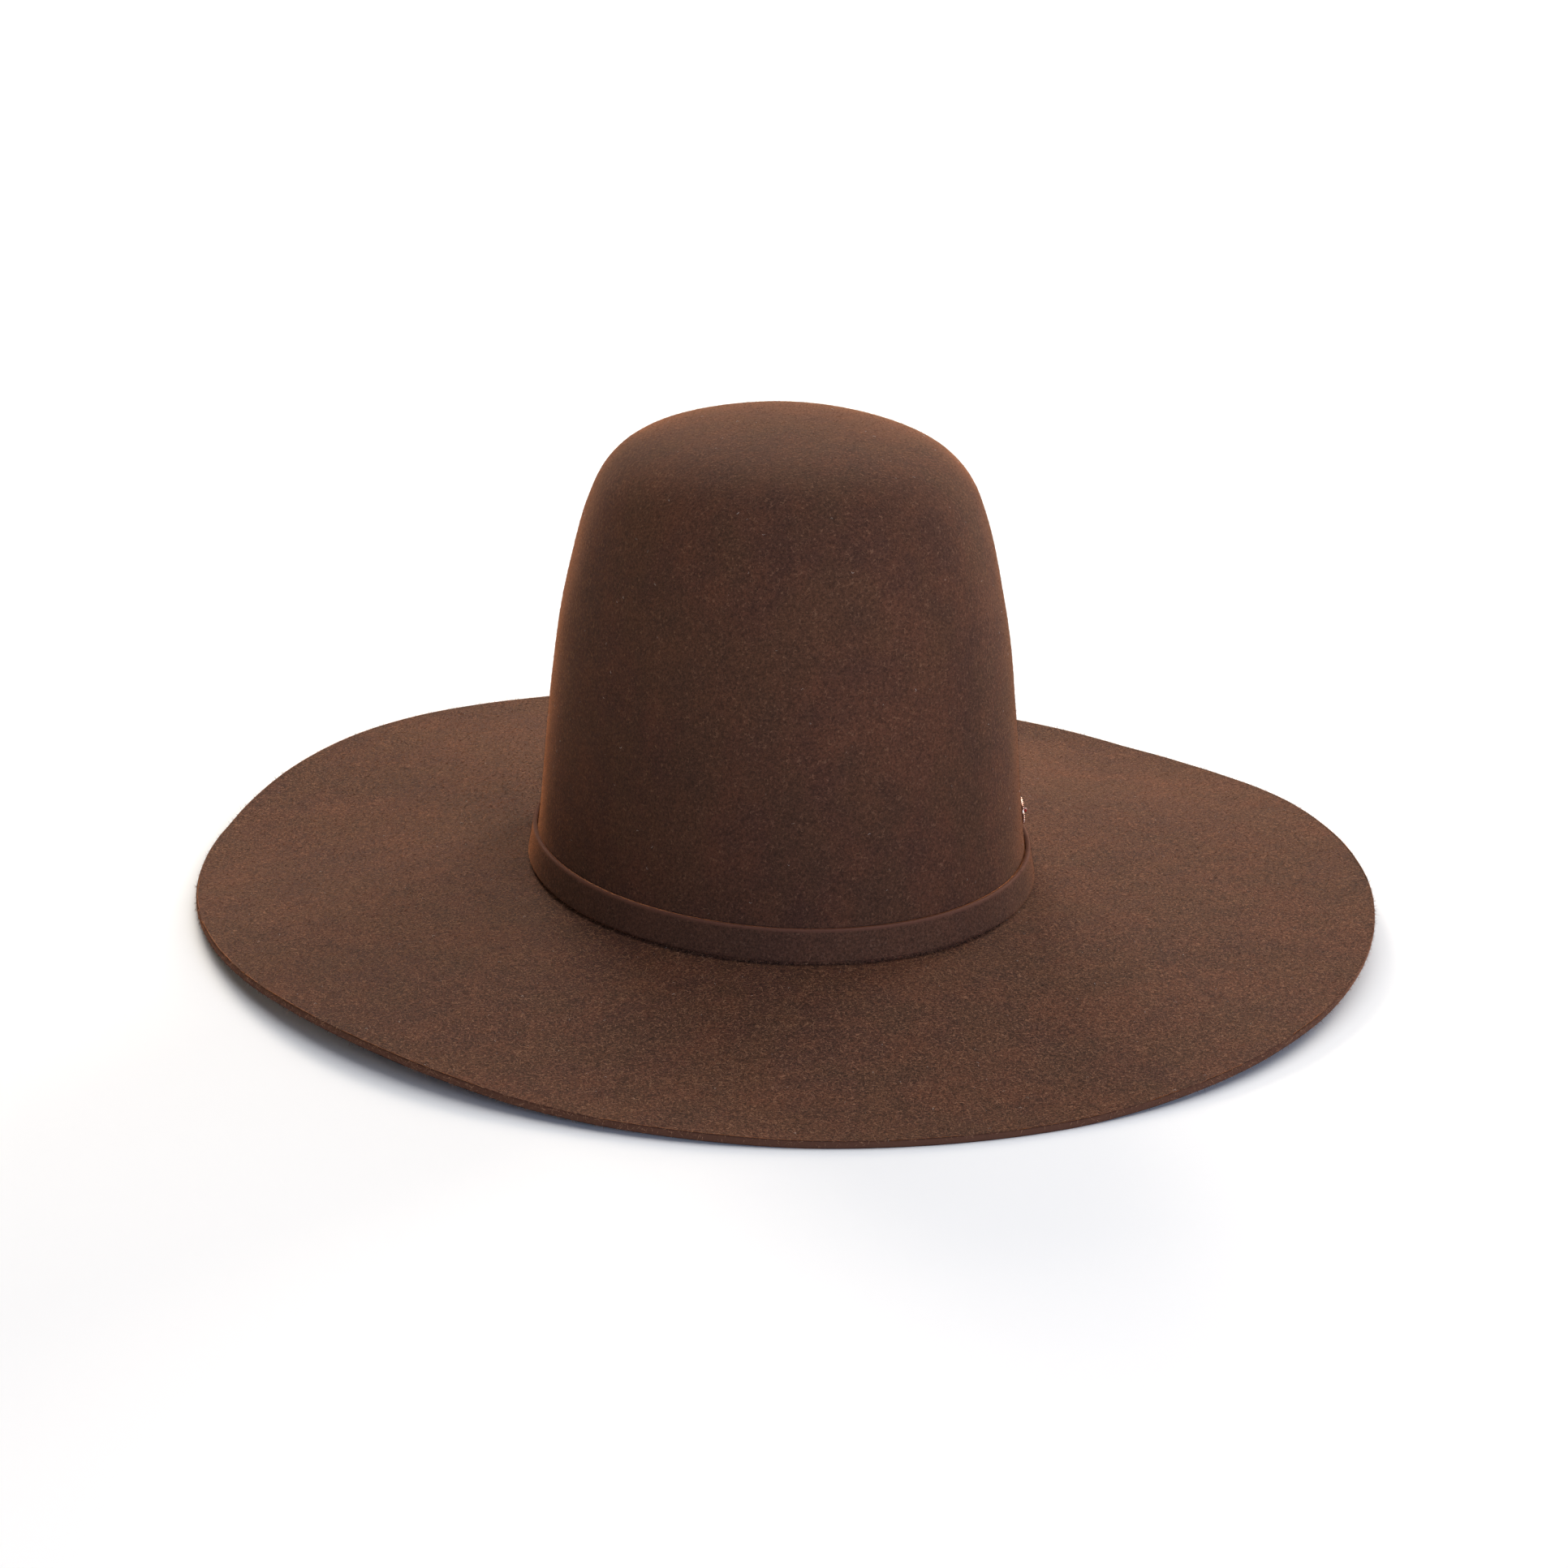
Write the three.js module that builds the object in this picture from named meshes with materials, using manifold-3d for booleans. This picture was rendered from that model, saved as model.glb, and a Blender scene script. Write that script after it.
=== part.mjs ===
// Felt hat with a tall, round, undented crown and a wide brim with a gentle wave. A narrow band of
// felt runs round the foot of the crown, and a small round metal pin sits just above the band.
// Millimetres, +Z up. The hat lies on its brim at z = 0, and its front faces -Y.
// A bearing is an angle seen from above, from the front (0 degrees) towards +X (90 degrees).

import * as THREE from 'three';
import { ParametricGeometry } from 'three/addons/geometries/ParametricGeometry.js';
import { mergeVertices } from 'three/addons/utils/BufferGeometryUtils.js';
import Module from 'manifold-3d';

// Felt
const feltThickness = 2.6;
const cutEdgeRound = 0.7;

// Head oval, inside the felt at the foot of the crown
const headHalfWidth = 85.2;
const headHalfLength = 103.8;

// Crown: its height above the break, and how far its top stands forward of its foot
const crownHeight = 163.2;
const crownLean = 6;

// Break: the small hollow curve where the crown turns into the brim
const breakRadius = 1.1;

// Brim: its width from the foot of the crown, what the front and back have more than the sides,
// how far its edge drops where it rests, and the height of its wave
const brimWidth = 124.2;
const brimFrontExtra = 3;
const brimDrop = 10.4;
const brimWave = 9;

// Band
const bandHeight = 11.3;
const bandThickness = 1.6;
const bandEdgeRound = 0.5;
const bandClearance = 0.3;

// Pin
const pinBearing = 75;
const pinAboveBand = 7.7;
const pinHeadRadius = 4.9;
const pinHeadThickness = 1.1;
const pinRimWidth = 0.9;
const pinDishDepth = 0.4;
const pinDomeHeight = 1.3;
const pinPostRadius = 0.6;
const pinClutchRadius = 2.8;
const pinClutchThickness = 2.2;
const pinClearance = 0.3;

// Fineness of the surfaces
const aroundSteps = 72;
const outerCrownSteps = 20;
const innerCrownSteps = 12;
const breakSteps = 3;
const upperBrimSteps = 9;
const lowerBrimSteps = 7;
const pinAroundSteps = 24;
const pinDomeSteps = 5;

// The crown's outline: shares of the crown height, with shares of the foot's half widths
const crownRows = [
  { height: 0, width: 1 },
  { height: 0.08, width: 0.976 },
  { height: 0.22, width: 0.951 },
  { height: 0.38, width: 0.926 },
  { height: 0.54, width: 0.894 },
  { height: 0.68, width: 0.845 },
  { height: 0.8, width: 0.79 },
  { height: 0.89, width: 0.715 },
  { height: 0.95, width: 0.58 },
  { height: 0.985, width: 0.35 },
  { height: 1, width: 0 },
];

// The brim's edge round the hat: bearings in degrees, with shares of the wave's height above the
// floor. A share below zero is felt that its weight presses flat.
const rimRows = [
  { bearing: 0, lift: -0.05 },
  { bearing: 30, lift: 0.46 },
  { bearing: 60, lift: 1 },
  { bearing: 90, lift: 0.89 },
  { bearing: 120, lift: 0.05 },
  { bearing: 150, lift: 0 },
  { bearing: 180, lift: 0.38 },
  { bearing: 210, lift: 0.74 },
  { bearing: 240, lift: -0.07 },
  { bearing: 270, lift: 0.39 },
  { bearing: 300, lift: 0.81 },
  { bearing: 330, lift: 0.2 },
];

const footHalfWidth = headHalfWidth + feltThickness;
const footHalfLength = headHalfLength + feltThickness;
const brimFootHeight = brimDrop + feltThickness;
const wallFootHeight = brimFootHeight + breakRadius;
const pinHeight = bandHeight + pinAboveBand;

// One half of the crown's outline and its mirror image, so that the top is level
const crownSide = crownRows.map((row) => new THREE.Vector2(row.width, row.height));
const crownOtherSide = crownRows.slice(0, -1).reverse().map((row) => new THREE.Vector2(-row.width, row.height));
const crownArch = new THREE.SplineCurve([...crownSide, ...crownOtherSide]);

// Evenly spaced shares from 0 to 1
function shares(steps) {
  return Array.from({ length: steps + 1 }, (unused, index) => index / steps);
}

// A point on the oval of the crown's foot
function footPoint(bearing) {
  return new THREE.Vector3(footHalfWidth * Math.sin(bearing), -footHalfLength * Math.cos(bearing), 0);
}

// The level direction straight out from that oval
function outward(bearing) {
  return new THREE.Vector3(Math.sin(bearing) / footHalfWidth, -Math.cos(bearing) / footHalfLength, 0).normalize();
}

// A point on the outside of the crown, where climb is 0 at the foot and 1 at the top
function crownPoint(climb, bearing) {
  const row = crownArch.getPoint(climb / 2);
  return new THREE.Vector3(
    footHalfWidth * row.x * Math.sin(bearing),
    -footHalfLength * row.x * Math.cos(bearing) - crownLean * row.y * row.y,
    wallFootHeight + crownHeight * row.y,
  );
}

// The direction straight out of the crown's outside
function crownNormal(climb, bearing) {
  if (climb === 1) {
    return new THREE.Vector3(0, 0, 1);
  }
  const step = 0.001;
  const upward = crownPoint(climb + step, bearing).sub(crownPoint(Math.max(climb - step, 0), bearing));
  const around = crownPoint(climb, bearing + step).sub(crownPoint(climb, bearing - step));
  return around.cross(upward).normalize();
}

// A point straight out from the crown, or inside its wall where the distance is negative
function besideCrown(climb, bearing, distance) {
  return crownPoint(climb, bearing).addScaledVector(crownNormal(climb, bearing), distance);
}

// How far up the crown's outline a height above its foot is reached
function climbTo(height) {
  let low = 0;
  let high = 1;
  while (high - low > 1e-9) {
    const middle = (low + high) / 2;
    if (crownArch.getPoint(middle / 2).y * crownHeight < height) {
      low = middle;
    } else {
      high = middle;
    }
  }
  return low;
}

// A point of the felt in the break, where turn is 0 at the wall and 1 at the brim
function breakPoint(turn, bearing, depth) {
  const angle = turn * Math.PI / 2;
  const radius = breakRadius + depth;
  const point = footPoint(bearing).addScaledVector(outward(bearing), breakRadius - radius * Math.cos(angle));
  return point.setZ(wallFootHeight - radius * Math.sin(angle));
}

// How high the underside of the brim's edge is carried above the floor. The rows are evenly spaced.
function rimLift(bearing) {
  const count = rimRows.length;
  const place = THREE.MathUtils.radToDeg(bearing) / rimRows[1].bearing;
  const index = Math.floor(place);
  const lift = (offset) => rimRows[(index + offset + count) % count].lift;
  const part = place - index;
  const slopeHere = (lift(1) - lift(-1)) / 2;
  const slopeNext = (lift(2) - lift(0)) / 2;
  const square = (3 * (lift(1) - lift(0)) - 2 * slopeHere - slopeNext) * part ** 2;
  const cube = (2 * (lift(0) - lift(1)) + slopeHere + slopeNext) * part ** 3;
  return brimWave * (lift(0) + slopeHere * part + square + cube);
}

// A point of the brim, where reach is 0 at the break and 1 at the edge. The underside is level at
// both ends of its slope, and lies flat where it would sink below the floor.
function brimPoint(reach, bearing, depth, setback = 0) {
  const fullWidth = brimWidth + brimFrontExtra * Math.cos(2 * bearing);
  const distance = breakRadius + (fullWidth - breakRadius) * reach - setback;
  const slope = reach * reach * (3 - 2 * reach);
  const underside = Math.max(THREE.MathUtils.lerp(brimDrop, rimLift(bearing), slope), 0);
  return footPoint(bearing).addScaledVector(outward(bearing), distance).setZ(underside + feltThickness - depth);
}

// Reaches across the brim, closer together towards its edge
function brimReaches(steps) {
  return shares(steps).map((share) => Math.sin(share * Math.PI / 2));
}

// Corner of a cut edge, as shares of its rounding: along the face, then along the cut
const cornerShares = [[1, 0], [0.29, 0.29], [0, 1]];

// The felt's section, from the top of the crown down its outside, out over the brim, round the cut
// edge, back underneath and up the inside. Each entry gives its point at a bearing.
function feltSection() {
  const round = Math.min(cutEdgeRound, feltThickness * 0.45);
  const outside = shares(outerCrownSteps).slice(1).reverse();
  const inside = shares(innerCrownSteps).slice(1);
  const turns = shares(breakSteps);
  const upper = cornerShares.map(([along, across]) => [along * round, across * round]);
  const lower = upper.map(([setback, depth]) => [setback, feltThickness - depth]).reverse();
  return [
    ...outside.map((climb) => (bearing) => besideCrown(climb, bearing, 0)),
    ...turns.map((turn) => (bearing) => breakPoint(turn, bearing, 0)),
    ...brimReaches(upperBrimSteps).slice(1, -1).map((reach) => (bearing) => brimPoint(reach, bearing, 0)),
    ...[...upper, ...lower].map(([setback, depth]) => (bearing) => brimPoint(1, bearing, depth, setback)),
    ...brimReaches(lowerBrimSteps).slice(1, -1).reverse()
      .map((reach) => (bearing) => brimPoint(reach, bearing, feltThickness)),
    ...turns.toReversed().map((turn) => (bearing) => breakPoint(turn, bearing, feltThickness)),
    ...inside.map((climb) => (bearing) => besideCrown(climb, bearing, -feltThickness)),
  ];
}

// The band's section, a strip that follows the wall of the crown, closed on itself
function bandSection() {
  const round = Math.min(bandEdgeRound, bandThickness * 0.45, bandHeight * 0.45);
  const near = bandClearance;
  const far = bandClearance + bandThickness;
  const topCorner = cornerShares.map(([along, across]) => [bandHeight - across * round, far - along * round]);
  const footCorner = cornerShares.map(([along, across]) => [across * round, far - along * round]).reverse();
  const outline = [[0, near], [bandHeight / 2, near], [bandHeight, near], ...topCorner, ...footCorner, [0, near]];
  return outline.map(([rise, distance]) => {
    const climb = climbTo(rise);
    return (bearing) => besideCrown(climb, bearing, distance);
  });
}

// A skin swept once around the hat through the points of a section, with its faces pointing out
function sweptAround(section) {
  const last = section.length - 1;
  const skin = (around, along, target) => {
    target.copy(section[Math.round(along * last)]((1 - around) * 2 * Math.PI));
  };
  return new ParametricGeometry(skin, aroundSteps, last);
}

// The pin's outline about its own axis, from the clutch inside the crown to the top of the dome.
// Height 0 is the felt's outside.
function pinOutline() {
  const innerFace = -feltThickness - pinClearance;
  const headFace = pinClearance + pinHeadThickness;
  const dishFloor = headFace - pinDishDepth;
  const domeRadius = pinHeadRadius - pinRimWidth;
  const dome = shares(pinDomeSteps).map((share) => {
    const angle = share * Math.PI / 2;
    return [domeRadius * Math.cos(angle), dishFloor + pinDomeHeight * Math.sin(angle)];
  });
  const outline = [
    [0, innerFace - pinClutchThickness],
    [pinClutchRadius, innerFace - pinClutchThickness],
    [pinClutchRadius, innerFace],
    [pinPostRadius, innerFace],
    [pinPostRadius, pinClearance],
    [pinHeadRadius, pinClearance],
    [pinHeadRadius, headFace],
    [domeRadius, headFace],
    ...dome.slice(0, -1),
    [0, dishFloor + pinDomeHeight],
  ];
  return outline.map(([radius, height]) => new THREE.Vector2(radius, height));
}

// Turns a geometry that stands on the Y axis to stand straight out of the crown at the pin's place
function atPin(geometry) {
  const bearing = THREE.MathUtils.degToRad(pinBearing);
  const climb = climbTo(pinHeight);
  const turn = new THREE.Quaternion().setFromUnitVectors(new THREE.Vector3(0, 1, 0), crownNormal(climb, bearing));
  const place = crownPoint(climb, bearing);
  return geometry.applyQuaternion(turn).translate(place.x, place.y, place.z);
}

const wasm = await Module();
wasm.setup();

// A closed geometry as a solid that can be cut
function toSolid(geometry) {
  const bare = geometry.clone();
  bare.deleteAttribute('normal');
  bare.deleteAttribute('uv');
  const merged = mergeVertices(bare, 1e-4);
  const corners = merged.index.array;
  const kept = [];
  for (let first = 0; first < corners.length; first += 3) {
    const triangle = corners.slice(first, first + 3);
    if (new Set(triangle).size === 3) {
      kept.push(...triangle);
    }
  }
  return new wasm.Manifold(new wasm.Mesh({
    numProp: 3,
    vertProperties: merged.attributes.position.array,
    triVerts: Uint32Array.from(kept),
  }));
}

// A solid back as a geometry
function toGeometry(solid) {
  const mesh = solid.getMesh();
  const geometry = new THREE.BufferGeometry();
  geometry.setAttribute('position', new THREE.BufferAttribute(mesh.vertProperties, 3));
  geometry.setIndex(new THREE.BufferAttribute(mesh.triVerts, 1));
  geometry.computeVertexNormals();
  return geometry;
}

// The felt of crown and brim, with the small hole that the pin's post passes through
function feltBody() {
  const holeRadius = pinPostRadius + pinClearance;
  const holeLength = 4 * feltThickness;
  const hole = atPin(new THREE.CylinderGeometry(holeRadius, holeRadius, holeLength, pinAroundSteps));
  return toGeometry(toSolid(sweptAround(feltSection())).subtract(toSolid(hole)));
}

// One named sub-part in its own material
function piece(name, geometry, color, roughness, metalness) {
  const mesh = new THREE.Mesh(geometry, new THREE.MeshStandardMaterial({ color, roughness, metalness }));
  mesh.name = name;
  return mesh;
}

const hat = new THREE.Group();
hat.add(piece('felt_body', feltBody(), 0x5c4034, 0.95, 0));
hat.add(piece('hat_band', sweptAround(bandSection()), 0x583c30, 0.95, 0));
hat.add(piece('crown_pin', atPin(new THREE.LatheGeometry(pinOutline(), pinAroundSteps)), 0xb87358, 0.25, 1));

export default hat;
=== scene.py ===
"""A tall open-crown felt hat with a wide brim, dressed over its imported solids.

Metres, +Z up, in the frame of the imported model. The hat lies on its brim at z = 0 and its front
faces -Y. A bearing is an angle seen from above, from the front towards +X.
"""
import logging
import math
from abc import ABC, abstractmethod
from collections.abc import Sequence
from dataclasses import dataclass, field
from enum import Enum

import bmesh
import bpy
import numpy as np
from bpy.types import Material, Mesh, Node, NodeSocket as Socket, NodeTree, Object
from mathutils import Matrix, Vector, noise


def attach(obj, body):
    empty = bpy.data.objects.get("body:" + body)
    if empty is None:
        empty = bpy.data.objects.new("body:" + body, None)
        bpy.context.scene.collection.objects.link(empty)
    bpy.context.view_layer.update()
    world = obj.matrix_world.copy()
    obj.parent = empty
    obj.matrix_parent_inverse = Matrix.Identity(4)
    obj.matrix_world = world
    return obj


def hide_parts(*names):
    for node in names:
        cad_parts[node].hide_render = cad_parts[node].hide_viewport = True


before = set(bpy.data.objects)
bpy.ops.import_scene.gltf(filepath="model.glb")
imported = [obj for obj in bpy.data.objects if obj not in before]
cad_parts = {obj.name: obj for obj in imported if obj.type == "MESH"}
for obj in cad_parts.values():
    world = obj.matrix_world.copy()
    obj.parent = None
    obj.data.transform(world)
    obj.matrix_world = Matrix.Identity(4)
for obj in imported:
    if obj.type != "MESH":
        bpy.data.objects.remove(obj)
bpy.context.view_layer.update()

log = logging.getLogger("felt_hat")

MM = 0.001
QUARTER_TURN = math.pi / 2
FULL_TURN = 2 * math.pi
FLOOR_GAP = 0.02 * MM
BODY = "root"

Pair = tuple[float, float]
Triple = tuple[float, float, float]
Feeds = dict[str | int, object]

WHITE: Triple = (1.0, 1.0, 1.0)
WARM: Triple = (1.0, 0.87, 0.72)
COOL: Triple = (0.84, 1.0, 1.38)


def screen(*parts: int) -> Triple:
    """Gives the linear colour of a colour as a screen shows it.

    Args:
        *parts: Its red, green and blue, 0 to 255.

    Returns:
        The three linear shares.
    """
    shown = [part / 255 for part in parts]
    return tuple(part / 12.92 if part <= 0.04045 else ((part + 0.055) / 1.055) ** 2.4 for part in shown)


class FeltUse(Enum):
    """What a felt finish is put on."""

    SKIN = "skin"
    NAP = "nap"


class Zone(Enum):
    """Which part of the felt's skin a ring of points lies in."""

    CROWN = "crown"
    BRIM = "brim"
    CUT_EDGE = "cut_edge"
    UNDERSIDE = "underside"
    INSIDE = "inside"


class Draw(Enum):
    """What a random draw decides. The value is the draw's seed."""

    TURN = 3
    SCALE = 5
    TONE = 7


class Wiring:
    """A node tree, with short calls that add its nodes and links."""

    def __init__(self, tree: NodeTree) -> None:
        """Takes over a node tree."""
        self.tree = tree

    def node(self, kind: str, feeds: Feeds | None = None, **settings: object) -> Node:
        """Adds a node.

        Args:
            kind: The node's Blender type.
            feeds: What its inputs get, by their name or number: a socket to link, or a value to
                set. A colour has three numbers.
            **settings: Properties to set on it.

        Returns:
            The new node.
        """
        made = self.tree.nodes.new(kind)
        for key, value in settings.items():
            setattr(made, key, value)
        for key, value in (feeds or {}).items():
            target = made.inputs[key]
            if isinstance(value, Socket):
                self.tree.links.new(value, target)
            else:
                target.default_value = (*value, 1.0) if target.type == "RGBA" else value
        return made


class Board(Wiring):
    """A material's node tree, with the patterns that the finishes share."""

    def __init__(self, name: str) -> None:
        """Starts an empty material.

        Args:
            name: The material's name.
        """
        self.material = bpy.data.materials.new(name)
        self.material.use_nodes = True
        super().__init__(self.material.node_tree)
        self.tree.nodes.clear()

    def place(self) -> Socket:
        """Gives the place on the object, in metres."""
        return self.node("ShaderNodeTexCoord").outputs["Object"]

    def attribute(self, name: str) -> Socket:
        """Gives a number stored on the mesh under a name."""
        return self.node("ShaderNodeAttribute", attribute_name=name).outputs["Fac"]

    def stretched(self, place: Socket, scales: Triple) -> Socket:
        """Scales a place unevenly, so that a pattern on it is drawn out along an axis."""
        return self.node("ShaderNodeMapping", {"Vector": place, "Scale": scales}).outputs["Vector"]

    def grain(self, place: Socket, size: float, detail: float = 2.0, rough: float = 0.5) -> Socket:
        """Gives soft noise round one half, in lumps of a size in metres."""
        feeds = {"Vector": place, "Scale": 1.0 / size, "Detail": detail, "Roughness": rough}
        return self.node("ShaderNodeTexNoise", feeds).outputs["Fac"]

    def compute(self, operation: str, *numbers: Socket | float) -> Socket:
        """Combines numbers by a Math node's operation."""
        return self.node("ShaderNodeMath", dict(enumerate(numbers)), operation=operation).outputs[0]

    def weighed(self, first: Socket, second: Socket, share: float) -> Socket:
        """Adds the second number by a share to what that leaves of the first."""
        return self.compute("MULTIPLY_ADD", first, 1.0 - share, self.compute("MULTIPLY", second, share))

    def spread(self, value: Socket, source: Pair, target: Pair = (0.0, 1.0)) -> Socket:
        """Maps a span of a number smoothly onto another span, and holds it there."""
        feeds = dict(zip(("Value", "From Min", "From Max", "To Min", "To Max"), (value, *source, *target)))
        return self.node("ShaderNodeMapRange", feeds, interpolation_type="SMOOTHSTEP").outputs["Result"]

    def blend(self, share: Socket | float, first: Socket | Triple, second: Socket | Triple,
              kind: str = "MIX") -> Socket:
        """Mixes a share of the second colour into the first, by a Mix node's blend type."""
        feeds = {0: share, 6: first, 7: second}
        return self.node("ShaderNodeMix", feeds, data_type="RGBA", blend_type=kind).outputs[2]

    def grey(self, value: Socket) -> Socket:
        """Turns a number into a grey colour of that strength."""
        feeds = dict.fromkeys(("Red", "Green", "Blue"), value)
        return self.node("ShaderNodeCombineColor", feeds).outputs["Color"]

    def lines(self, place: Socket, size: float, width: float, patchiness: float) -> Socket:
        """Draws short curved hair lines.

        Args:
            place: Where the pattern is read.
            size: How far the lines lie apart, in metres.
            width: Their width, as a share of that.
            patchiness: From 0, lines everywhere, to 1, lines nowhere.

        Returns:
            1 on a line and 0 beside it.
        """
        contour = self.compute("ABSOLUTE", self.compute("SUBTRACT", self.grain(place, size, 1.0), 0.5))
        line = self.spread(contour, (0.0, width), (1.0, 0.0))
        patches, soft = self.grain(place, size * 0.8, 0.0), 0.05
        shown = self.spread(patches, (patchiness - soft, patchiness + soft))
        return self.compute("MULTIPLY", line, shown)

    def bump(self, height: Socket, depth: float, strength: float) -> Socket:
        """Raises the surface by a height from 0 to 1, where 1 stands for a depth in metres."""
        feeds = {"Height": height, "Distance": depth, "Strength": strength}
        return self.node("ShaderNodeBump", feeds).outputs["Normal"]

    def finish(self, colour: Socket | Triple, **others: Socket | Triple | float) -> Material:
        """Ends the tree in a Principled shader.

        Args:
            colour: The base colour.
            **others: The shader's other sockets, with _ for a space in their names.

        Returns:
            The finished material.
        """
        feeds = {key.replace("_", " "): value for key, value in others.items()}
        shader = self.node("ShaderNodeBsdfPrincipled", {"Base Color": colour, **feeds})
        self.node("ShaderNodeOutputMaterial", {"Surface": shader.outputs["BSDF"]})
        return self.material


@dataclass(frozen=True)
class FeltFinish:
    """Brushed felt: cloudy colour, a fine nap with lighter hairs, and a soft sheen."""

    name: str
    light: Triple
    dark: Triple
    olive: Triple
    hair: Triple
    # The colour mixed in on the cut edge. On the band it is lighter than the felt: partly the raw edge's
    # own colour and partly painted highlight, light caught by the rounded top edge.
    cut_and_highlight: Triple
    sheen_tint: Triple = screen(230, 142, 86)
    sheen: float = 0.72
    sheen_roughness: float = 0.20
    roughness: float = 0.92
    specular: float = 0.16
    cloud_size: float = 60 * MM
    patch_size: float = 12 * MM
    patch_share: float = 0.5
    mottle_span: Pair = (0.36, 0.64)
    dye_size: float = 22 * MM
    dye_stretch: Triple = (1.0, 1.0, 0.6)
    dye_span: Pair = (0.40, 0.62)
    dye_share: float = 0.38
    nap_size: float = 0.9 * MM
    pore_size: float = 0.35 * MM
    pore_share: float = 0.4
    grain_span: Pair = (0.32, 0.68)
    shade_span: Pair = (0.51, 1.42)
    brim_contrast: float = 0.9
    hair_spacing: float = 1.6 * MM
    hair_width: float = 0.035
    hair_patchiness: float = 0.52
    hair_share: float = 0.22
    brim_hair_share: float = 0.2
    hair_height: float = 0.35
    nap_tone_power: float = 2.2
    bump_depth: float = 0.25 * MM
    bump: float = 0.55

    def base(self, board: Board, place: Socket) -> Socket:
        """Mixes the felt's cloudy colour.

        Args:
            board: The material's nodes.
            place: The place on the object.

        Returns:
            The colour without its nap.
        """
        clouds = board.grain(place, self.cloud_size, 3.0, 0.55)
        patches = board.grain(place, self.patch_size, 3.0, 0.6)
        mottle = board.spread(board.weighed(clouds, patches, self.patch_share), self.mottle_span)
        brown = board.blend(mottle, self.dark, self.light)
        dye = board.grain(board.stretched(place, self.dye_stretch), self.dye_size, 2.0, 0.6)
        return board.blend(board.spread(dye, self.dye_span, (0.0, self.dye_share)), brown, self.olive)

    def material(self, use: FeltUse = FeltUse.NAP) -> Material:
        """Makes the material.

        Args:
            use: Whether it goes on the felt's skin or on the loose hairs of its nap.

        Returns:
            The material.
        """
        board = Board(f"{self.name}_{use.value}")
        place = board.place()
        colour = self.base(board, place)
        if use is FeltUse.NAP:
            bright = board.compute("POWER", board.attribute("tone"), self.nap_tone_power)
            colour = board.blend(bright, colour, self.hair)
            return board.finish(colour, Roughness=self.roughness, Specular_IOR_Level=self.specular)
        brim = board.attribute("brim_cover")
        nap = board.grain(place, self.nap_size, 2.0, 0.7)
        pores = board.grain(place, self.pore_size, 1.0, 0.5)
        grain = board.weighed(nap, pores, self.pore_share)
        contrast = board.compute("MULTIPLY_ADD", brim, self.brim_contrast, 1.0)
        shade = board.compute("POWER", board.spread(grain, self.grain_span, self.shade_span), contrast)
        colour = board.blend(1.0, colour, board.grey(shade), "MULTIPLY")
        hairs = board.lines(place, self.hair_spacing, self.hair_width, self.hair_patchiness)
        shown = board.compute("MULTIPLY_ADD", brim, self.brim_hair_share, self.hair_share)
        colour = board.blend(board.compute("MULTIPLY", hairs, shown), colour, self.hair)
        # The cut edge's colour; on the band this is partly a painted highlight along its top edge.
        colour = board.blend(board.attribute("cut_edge"), colour, self.cut_and_highlight)
        height = board.compute("MULTIPLY_ADD", hairs, self.hair_height, grain)
        return board.finish(
            colour,
            Normal=board.bump(height, self.bump_depth, self.bump),
            Roughness=self.roughness,
            Specular_IOR_Level=self.specular,
            Sheen_Weight=self.sheen,
            Sheen_Roughness=self.sheen_roughness,
            Sheen_Tint=self.sheen_tint,
        )


@dataclass(frozen=True)
class PolishedFinish:
    """A polished surface whose colour clouds into another one."""

    name: str
    colour: Triple
    clouded: Triple
    cloud_size: float
    cloud_span: Pair
    detail: float
    detail_share: float
    metallic: float
    coat: float
    pit_depth: float
    pit_size: float = 0.3 * MM
    bump: float = 0.3
    roughness: float = 0.12
    coat_roughness: float = 0.03

    def material(self) -> Material:
        """Makes the material.

        Returns:
            The material.
        """
        board = Board(self.name)
        place = board.place()
        clouds = board.grain(place, self.cloud_size, self.detail, self.detail_share)
        return board.finish(
            board.blend(board.spread(clouds, self.cloud_span), self.colour, self.clouded),
            Normal=board.bump(board.grain(place, self.pit_size), self.pit_depth, self.bump),
            Metallic=self.metallic,
            Roughness=self.roughness,
            Coat_Weight=self.coat,
            Coat_Roughness=self.coat_roughness,
        )


@dataclass(frozen=True)
class LintFinish:
    """Pale loose fibre."""

    name: str
    colour: Triple
    fade: float = 0.45
    roughness: float = 0.8

    def material(self) -> Material:
        """Makes the material.

        Returns:
            The material.
        """
        board = Board(self.name)
        faded = tuple(self.fade * part for part in self.colour)
        colour = board.blend(board.attribute("tone"), self.colour, faded)
        return board.finish(colour, Roughness=self.roughness)


def shares(steps: int) -> list[float]:
    """Gives evenly spaced shares from 0 to 1."""
    return [index / steps for index in range(steps + 1)]


def eased(steps: int) -> list[float]:
    """Gives shares between 0 and 1, without the two, that lie closer together towards 1."""
    return [math.sin(share * QUARTER_TURN) for share in shares(steps)][1:-1]


def all_round(steps: int) -> np.ndarray:
    """Gives evenly spaced angles round a full turn."""
    return np.arange(steps) * FULL_TURN / steps


def straight_up(count: int) -> np.ndarray:
    """Gives the upward direction once for each of a number of points."""
    return np.tile([0.0, 0.0, 1.0], (count, 1))


def unit(vectors: np.ndarray) -> np.ndarray:
    """Scales every row to a length of 1."""
    return vectors / np.linalg.norm(vectors, axis=1, keepdims=True)


def rounded_corner(radius: float, steps: int) -> list[Pair]:
    """Gives the points of a rounded corner.

    Args:
        radius: The corner's radius.
        steps: How many steps it has.

    Returns:
        How far each point lies back from the corner's side and down from its top.
    """
    turns = [share * QUARTER_TURN for share in shares(steps)]
    return [(radius * (1 - math.sin(turn)), radius * (1 - math.cos(turn))) for turn in turns]


@dataclass(frozen=True)
class Ring:
    """One loop of points around the hat."""

    points: np.ndarray
    out: np.ndarray
    zone: Zone


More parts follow.
